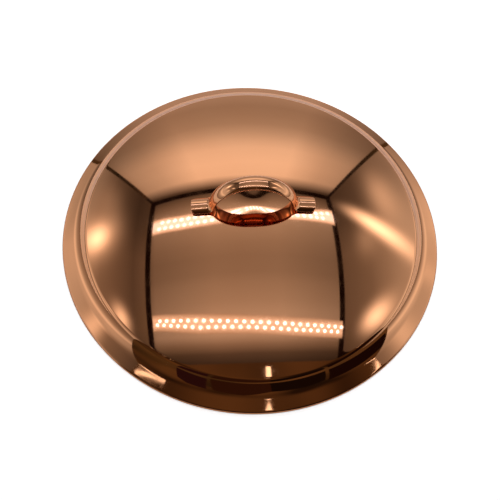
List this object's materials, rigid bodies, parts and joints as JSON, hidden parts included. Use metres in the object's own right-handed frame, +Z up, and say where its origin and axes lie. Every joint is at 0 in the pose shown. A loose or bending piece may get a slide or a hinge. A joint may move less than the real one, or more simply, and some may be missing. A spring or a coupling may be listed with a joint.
{
  "type": "soup kettle lid",
  "caption": "Shallow domed round lid with a stepped flange, a curled rim and an arched strap handle, to cover a soup kettle or a round food pan.",
  "frame": {"origin": "centre of the lid, on the plane on which its curled rim rests", "axes": "+Z up along the axis of the dome, +X along the handle from its left foot to its right foot"},
  "size_m": [0.36, 0.36, 0.0873],
  "materials": {
    "copper": "mirror polished, copper coloured",
    "steel": "satin",
    "silicone": "matte, translucent white"
  },
  "bodies": {
    "root": {"lid_shell": "copper", "handle": "copper", "left_pad": "silicone", "right_pad": "silicone", "left_stud": "steel", "right_stud": "steel", "left_washer": "steel", "right_washer": "steel", "left_spring_washer": "steel", "right_spring_washer": "steel", "left_cap_nut": "steel", "right_cap_nut": "steel"}
  },
  "joints": []
}
